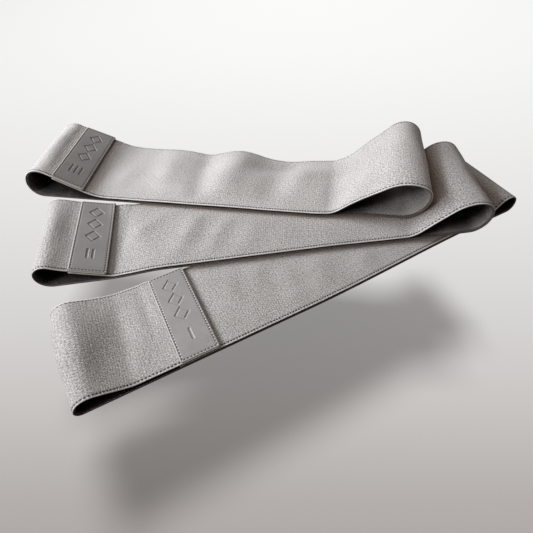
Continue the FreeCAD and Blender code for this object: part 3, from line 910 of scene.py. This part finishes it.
# --------------------------------------------------------------- label patch
# On the patch: a along the band from the inner side, b across it.
def patch_stitches():
    """(a, b, direction a, direction b, pitch) of each stitch round the patch."""
    e = PATCH_SEAM_INSET
    corners = [(e, e), (PL - e, e), (PL - e, PW - e), (e, PW - e)]
    out = []
    for (a0, b0), (a1, b1) in zip(corners, corners[1:] + corners[:1]):
        d = math.hypot(a1 - a0, b1 - b0)
        n = int(round(d / PATCH_STITCH_PITCH))
        for i in range(n):
            t = (i + 0.5) / n
            out.append((a0 + (a1 - a0) * t, b0 + (b1 - b0) * t,
                        (a1 - a0) / d, (b1 - b0) / d, d / n))
    return out


def patch_marks(a, b, bars):
    """Distances to the outlines of the pressed marks: three lozenge rings and a row of bars."""
    ca, cb = PL / 2, PW / 2
    marks = []
    for i in range(3):
        r = np.abs(a - ca) + np.abs(b - (cb - 2.0 + 14.0 * i))
        marks.append((np.abs(r - 5.4) - 1.0) / math.sqrt(2))      # half diagonal 5.4, line +-1
    for i in range(bars):
        # rounded bar, half size 0.6 x 4.7 plus 0.3 all round
        da = np.abs(a - (ca + (i - (bars - 1) / 2.0) * 4.4)) - 0.6
        db = np.abs(b - (cb - 21.0)) - 4.7
        marks.append(np.hypot(np.maximum(da, 0), np.maximum(db, 0))
                     + np.minimum(np.maximum(da, db), 0) - 0.3)
    return marks


def patch_height(a, b, bars):
    """Leather surface above the patch's underside."""
    e = np.minimum(np.minimum(a, PL - a), np.minimum(b, PW - b))
    h = np.full_like(a, PT)
    h -= 0.26 * (1 - smooth(e / 0.6)) ** 2                        # worn rim
    for drop, half_width in ((0.07, 0.8), (0.10, 0.34)):          # groove under the seam
        h -= drop * np.exp(-((e - PATCH_SEAM_INSET) / half_width) ** 2)
    for sa, sb, da, db, pitch in patch_stitches():                # needle holes
        d2 = (a - (sa + da * pitch / 2)) ** 2 + (b - (sb + db * pitch / 2)) ** 2
        h -= 0.22 * np.exp(-d2 / 0.14)
    marks = patch_marks(a, b, bars)
    pressed = np.maximum.reduce([1 - smooth((d + 0.18) / 0.36) for d in marks])
    raised = np.maximum.reduce([np.exp(-((d - 0.38) / 0.3) ** 2) for d in marks])
    return h - 0.42 * pressed + 0.06 * raised


def round_corner(a, b, r=1.3):
    """Moves grid points so that the outline has round corners."""
    a, b = a.copy(), b.copy()
    for high_a in (False, True):
        for high_b in (False, True):
            x = (a - (PL - r)) / r if high_a else (r - a) / r
            y = (b - (PW - r)) / r if high_b else (r - b) / r
            m = (x > 0) & (y > 0)
            nx = x[m] * np.sqrt(1 - y[m] * y[m] / 2)
            ny = y[m] * np.sqrt(1 - x[m] * x[m] / 2)
            a[m] = PL - r + nx * r if high_a else r - nx * r
            b[m] = PW - r + ny * r if high_b else r - ny * r
    return a, b


def patch_to_strip(band, a, b):
    return band.L - PL + a, (W - PW) / 2 + b


def patch_grid(size, step):
    """Grid lines over one dimension of the patch, closer at its rims."""
    return np.unique(np.concatenate([np.linspace(0, 1.4, 8), np.arange(1.6, size - 1.5, step),
                                     np.linspace(size - 1.4, size, 8)]))


def build_patch(band):
    """Leather label; also returns the x of its inner-most and outer-most points."""
    a, b = np.meshgrid(patch_grid(PL, 0.34), patch_grid(PW, 0.36), indexing="ij")
    height = patch_height(a, b, band.shape["bars"])
    s, v = patch_to_strip(band, *round_corner(a, b))
    normal, _ = band.normal(np.minimum(s, band.L - 0.5), v)
    under = band.surf(np.minimum(s, band.L), v)
    top = (under + normal * (PATCH_LIFT + height)[..., None]).reshape(-1, 3)
    low = (under + normal * PATCH_LIFT).reshape(-1, 3)
    verts = np.vstack([top, low])
    uv = np.vstack([np.stack([a.ravel(), b.ravel()], -1)] * 2) * UV_PER_MM
    n, m = a.shape
    faces = sheet_faces(n, m)
    # cut edge: the walls, and the outermost two rings of the top
    i, j = np.meshgrid(np.arange(n - 1), np.arange(m - 1), indexing="ij")
    rim = ((i < 2) | (i >= n - 3) | (j < 2) | (j >= m - 3)).ravel()
    face_mat = np.ones(len(faces))
    face_mat[:len(rim)] = rim
    face_mat[len(rim):2 * len(rim)] = 0
    ob = make_object(band.name + "_leather_patch", verts, faces, band,
                     [LEATHER, LEATHER_EDGE], uv, face_mat)
    return ob, (verts[:, 0].min(), verts[:, 0].max())


def build_patch_seam(band):
    a, b, da, db, _ = np.array(patch_stitches()).T
    s, v = patch_to_strip(band, a, b)
    normal, along = band.normal(s, v)
    side = np.cross(normal, along)
    # turn side towards +v
    towards_v = band.surf(s, np.minimum(v + 1, W)) - band.surf(s, v - 0.2)
    side = side * np.sign((side * towards_v).sum(-1))[:, None]
    direction = along * da[:, None] + side * db[:, None]
    centre = band.surf(s, v) + normal * (PATCH_LIFT + PT - 0.26)
    verts, faces = capsules(centre, direction, np.cross(normal, direction), normal,
                            length=1.7, radius=0.42, flat=0.62)
    return make_object(band.name + "_patch_seam", verts, faces, band, [PATCH_THREAD])


# --------------------------------------------------------- building the bands
STRETCHING = ("face_fabric", "grip_lining", "rubber_threads", "edge_stitching")
RIDING = ("lap_seam", "label_patch", "patch_stitching")


def build_band(b):
    out = {"face_fabric": build_face(b), "grip_lining": build_lining(b),
           "rubber_threads": build_rubber(b), "edge_stitching": build_edge_seam(b),
           "lap_seam": build_lap_seam(b)}
    out["label_patch"], patch_x = build_patch(b)
    out["patch_stitching"] = build_patch_seam(b)

    far, patch = b.name + "_far_end", b.name + "_patch_end"
    start, end = (tuple(b.local_to_row(np.array([x, W / 2, 0.0])) * MM)
                  for x in (patch_x[1] + 3, b.x_far() - b.shape["stretch_stop"]))
    for key in STRETCHING:
        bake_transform(out[key])
        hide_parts(f"{b.name}_{key}_patch_end", f"{b.name}_{key}_far_end")
    for key in RIDING:
        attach(out[key], patch)
        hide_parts(f"{b.name}_{key}")
    return out


built = {name: build_band(band) for name, band in bands.items()}

# --------------------------------------------------------------------- floor
FLOOR_Z = -0.150
# Height in the view (0 bottom, 1 top) and sRGB colour, 0-255.
FLOOR_TONES = [
    (0.0, (177, 172, 170)), (0.0619137, (181, 176, 174)), (0.1369606, (189, 185, 183)),
    (0.2495310, (201, 198, 196)), (0.3808630, (212, 210, 209)), (0.5121951, (221, 219, 219)),
    (0.6247655, (228, 227, 226)), (0.7748593, (236, 236, 235)), (0.8874296, (242, 242, 242)),
    (0.9906191, (246, 246, 246))]


def srgb_to_linear(value):
    x = value / 255.0
    return x / 12.92 if x <= 0.04045 else ((x + 0.055) / 1.055) ** 2.4


def stage_material():
    """Pale, partly glowing floor that greys towards the bottom of the view."""
    k = Surface("stage_pale")
    _, view_height = k.split(k.node("ShaderNodeTexCoord").outputs["Window"])
    stops = [(y, tuple(srgb_to_linear(c) for c in rgb)) for y, rgb in FLOOR_TONES]
    col = k.ramp(view_height, stops)
    k.link(col, k.bsdf.inputs["Emission Color"])
    return k.finish(k.mix(1.0, col, (0.26, 0.26, 0.26), "MULTIPLY"),
                    {"Emission Strength": 0.385, "Roughness": 1.0, "Specular IOR Level": 0.0})


bpy.ops.mesh.primitive_plane_add(size=14, location=(0, 0, FLOOR_Z))
floor = bpy.context.object
floor.name = "stage_floor"
floor.data.materials.append(stage_material())
floor.visible_diffuse = False
floor.visible_glossy = False


# --------------------------------------------------------------------- world
def build_world():
    """Dim warm room, brightest towards one direction; the camera sees a plain pale wall."""
    world = bpy.data.worlds.new("soft_room")
    scene.world = world
    world.use_nodes = True
    k = Graph(world.node_tree)
    out = k.node("ShaderNodeOutputWorld")
    room = k.node("ShaderNodeBackground")
    facing = k.node("ShaderNodeVectorMath", operation="DOT_PRODUCT")
    facing.inputs[1].default_value = (-0.20, 0.30, 0.93)      # brightest direction
    k.link(k.node("ShaderNodeTexCoord").outputs["Generated"], facing.inputs[0])
    level = k.math("MULTIPLY_ADD", facing.outputs["Value"], 0.5, 0.5)
    glow = k.ramp(level, [(0.42, (0.022, 0.014, 0.009)), (0.66, (0.150, 0.122, 0.100)),
                          (1.0, (0.46, 0.412, 0.380))])
    k.link(glow, room.inputs[0])
    wall = k.node("ShaderNodeBackground", Color=(0.80, 0.80, 0.795, 1))
    choose = k.node("ShaderNodeMixShader")
    k.link(k.node("ShaderNodeLightPath").outputs["Is Camera Ray"], choose.inputs[0])
    k.link(room.outputs[0], choose.inputs[1])
    k.link(wall.outputs[0], choose.inputs[2])
    k.link(choose.outputs[0], out.inputs[0])


build_world()


# -------------------------------------------------------------------- lights
def area(name, receivers, *, loc, target, size, power, color):
    """Square area light that lights only the receivers."""
    d = bpy.data.lights.new(name, "AREA")
    d.shape = "RECTANGLE"
    d.size = d.size_y = size
    d.energy = power
    d.color = color
    o = bpy.data.objects.new(name, d)
    scene.collection.objects.link(o)
    o.location = loc
    o.rotation_mode = "QUATERNION"
    o.rotation_quaternion = (Vector(target) - Vector(loc)).to_track_quat("-Z", "Y")
    o.light_linking.receiver_collection = receivers


band_group = bpy.data.collections.new("lit_by_window")
for pieces in built.values():
    for ob in pieces.values():
        band_group.objects.link(ob)
floor_group = bpy.data.collections.new("lit_by_overhead")
floor_group.objects.link(floor)

area("window", band_group, loc=(-0.918, 0.469, 0.488), target=(-0.02, 0.02, 0.0),
     size=0.48, power=19.8, color=(0.93, 0.965, 1.0))
area("back", band_group, loc=(-0.18, 0.50, 0.86), target=(-0.05, -0.05, 0.0),
     size=0.36, power=1.7, color=(0.97, 0.98, 1.0))
area("fill", band_group, loc=(-0.70, -0.30, 0.46), target=(0.06, 0.0, 0.02),
     size=0.24, power=4.0, color=(0.97, 0.98, 1.0))
area("overhead", floor_group, loc=(0.15, 0.75, 3.0), target=(0, 0, -0.1),
     size=0.85, power=240.0, color=(0.985, 0.995, 1.0))

# -------------------------------------------------------------------- camera
CAMERA_PLACE = (-0.0216296, -0.2540761, 0.2567)
PITCH, ROLL, YAW = math.radians(50.64), math.radians(-3.94), math.radians(-4.357)


def camera_matrix():
    """Looks along +y, pitched down, then rolled, then turned about z."""
    forward = np.array([0, math.cos(PITCH), -math.sin(PITCH)])
    level_up = np.array([0, math.sin(PITCH), math.cos(PITCH)])
    level_right = np.array([1.0, 0, 0])
    right = math.cos(ROLL) * level_right + math.sin(ROLL) * level_up
    up = -math.sin(ROLL) * level_right + math.cos(ROLL) * level_up
    turn = np.array([[math.cos(YAW), -math.sin(YAW), 0],
                     [math.sin(YAW), math.cos(YAW), 0], [0, 0, 1]])
    m = np.eye(4)
    m[:3, 0], m[:3, 1], m[:3, 2] = turn @ right, turn @ up, -(turn @ forward)
    m[:3, 3] = CAMERA_PLACE
    return Matrix(m.tolist())


cam_data = bpy.data.cameras.new("camera")
cam = bpy.data.objects.new("camera", cam_data)
scene.collection.objects.link(cam)
cam.matrix_world = camera_matrix()
cam_data.sensor_width = 36.0
cam_data.lens = 27.563977
cam_data.shift_x = -0.001313321
cam_data.shift_y = -0.000938086
cam_data.clip_start, cam_data.clip_end = 0.01, 50
scene.camera = cam

scene.view_settings.view_transform = "Standard"
scene.view_settings.look = "None"

bpy.context.view_layer.update()
